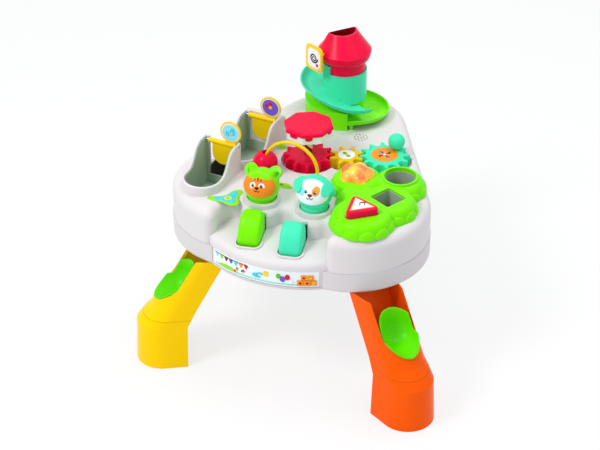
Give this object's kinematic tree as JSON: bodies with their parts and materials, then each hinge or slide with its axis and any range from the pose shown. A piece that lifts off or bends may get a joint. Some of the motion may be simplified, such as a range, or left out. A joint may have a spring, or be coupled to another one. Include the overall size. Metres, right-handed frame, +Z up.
{
  "type": "child's activity table",
  "caption": "Toddler activity table on three sloping legs: ball tower with ramps and gates, meshing gears with a carousel, pop-up heads on pedals, a shape sorter bush and a bead arch.",
  "frame": {"origin": "on the floor, below the middle of the overall box", "axes": "+Z up, -Y towards the child at the tray, +X to the child's right"},
  "size_m": [0.4804, 0.4779, 0.4125],
  "materials": {
    "cream": "satin",
    "cream_base": "satin",
    "print_white": "gloss",
    "yellow_leg": "gloss",
    "orange_leg": "gloss",
    "teal": "gloss",
    "lime": "gloss",
    "red": "gloss",
    "gate_yellow": "gloss",
    "gear_yellow": "gloss",
    "sage": "matte",
    "white": "gloss",
    "pole_stripe": "gloss",
    "face_orange": "gloss",
    "dome_orange": "translucent gloss",
    "steel": "brushed",
    "zinc": "polished",
    "board_green": "matte",
    "black": "matte",
    "cell": "satin",
    "lamp_clear": "clear"
  },
  "bodies": {
    "table": {"table_top_shell": "cream", "table_base_shell": "cream_base", "casing_screws": "steel", "front_label": "print_white", "left_leg_shell": "yellow_leg", "right_leg_shell": "orange_leg", "rear_leg_shell": "teal", "left_leg_panel": "yellow_leg", "right_leg_panel": "orange_leg", "rear_leg_panel": "teal", "left_leg_cup": "lime", "right_leg_cup": "lime", "leg_screws": "steel", "front_pocket_liner": "sage", "rear_pocket_liner": "sage", "gate_pins": "steel", "tower_base": "lime", "tower_ramp": "teal", "tower_hopper": "red", "tower_sign": "gate_yellow", "gear_axles": "cream", "bush_cover": "lime", "light_dome": "dome_orange", "dome_lamp": "lamp_clear", "button_spring": "zinc", "button_switch": "black", "sorter_chute": "orange_leg", "pedal_axles": "steel", "arch_rail": "gate_yellow", "circuit_board": "board_green", "speaker": "black", "battery_box": "black", "batteries": "cell", "battery_cover": "cream_base", "battery_screw": "steel"},
    "green_pedal": {"green_pedal": "lime"},
    "cub": {"cub_hood": "lime", "cub_face": "face_orange"},
    "teal_pedal": {"teal_pedal": "teal"},
    "pup": {"pup_hood": "teal", "pup_face": "white"},
    "crank": {"crank_gear": "teal"},
    "idler": {"idler_gear": "gear_yellow"},
    "carousel": {"carousel_gear": "red", "carousel_pole": "pole_stripe", "canopy_band": "white", "canopy_icing": "red"},
    "knob": {"crank_knob": "teal"},
    "bead": {"sliding_bead": "red"},
    "button": {"triangle_button": "red"},
    "front_gate": {"front_gate": "gate_yellow"},
    "rear_gate": {"rear_gate": "gate_yellow"},
    "power_switch": {"power_switch": "red"}
  },
  "joints": [
    {"name": "green_pedal_press", "type": "hinge", "parent": "table", "child": "green_pedal", "pos_m": [-0.0613, -0.154, 0.226], "axis": [0.9903, 0.1392, 0], "range_deg": [0, 17]},
    {"name": "cub_rise", "type": "slide", "parent": "table", "child": "cub", "axis": [0, 0, 1], "range_m": [0, 0.01001]},
    {"name": "teal_pedal_press", "type": "hinge", "parent": "table", "child": "teal_pedal", "pos_m": [0.0042, -0.154, 0.226], "axis": [0.9903, 0.1392, 0], "range_deg": [-8, 9]},
    {"name": "pup_rise", "type": "slide", "parent": "table", "child": "pup", "axis": [0, 0, 1], "range_m": [-0.00472, 0.0053]},
    {"name": "crank_turn", "type": "hinge", "parent": "table", "child": "crank", "pos_m": [0.06958, 0.04573, 0.263], "axis": [0, 0, 1], "continuous": true},
    {"name": "idler_turn", "type": "hinge", "parent": "table", "child": "idler", "pos_m": [0.0158, 0.024, 0.263], "axis": [0, 0, 1], "continuous": true},
    {"name": "carousel_turn", "type": "hinge", "parent": "table", "child": "carousel", "pos_m": [-0.0393, 0.00588, 0.263], "axis": [0, 0, 1], "continuous": true},
    {"name": "knob_spin", "type": "hinge", "parent": "crank", "child": "knob", "pos_m": [0.0805, 0.069, 0.295], "axis": [0, 0, 1], "continuous": true},
    {"name": "bead_slide", "type": "hinge", "parent": "table", "child": "bead", "pos_m": [-0.0438, -0.0525, 0.29016], "axis": [0, 1, 0], "range_deg": [0, 180]},
    {"name": "button_press", "type": "slide", "parent": "table", "child": "button", "axis": [0, 0, 1], "range_m": [-0.003, 0], "stiffness_N_per_m": 300, "springref_m": 0.002, "deforming": ["button_spring"]},
    {"name": "front_gate_swing", "type": "hinge", "parent": "table", "child": "front_gate", "pos_m": [-0.15, -0.065, 0.316], "axis": [0.9962, -0.0872, 0], "range_deg": [-35, 35]},
    {"name": "rear_gate_swing", "type": "hinge", "parent": "table", "child": "rear_gate", "pos_m": [-0.124, 0.027, 0.316], "axis": [0.9962, -0.0872, 0], "range_deg": [-35, 35]},
    {"name": "power_slide", "type": "slide", "parent": "table", "child": "power_switch", "axis": [0, 1, 0], "range_m": [0, 0.006]}
  ],
  "couplings": [
    {"joint": "cub_rise", "follows": "green_pedal_press", "m_per_rad": 0.033703},
    {"joint": "pup_rise", "follows": "teal_pedal_press", "m_per_rad": 0.033703},
    {"joint": "idler_turn", "follows": "crank_turn", "ratio": -1.5},
    {"joint": "carousel_turn", "follows": "crank_turn", "ratio": 1}
  ]
}
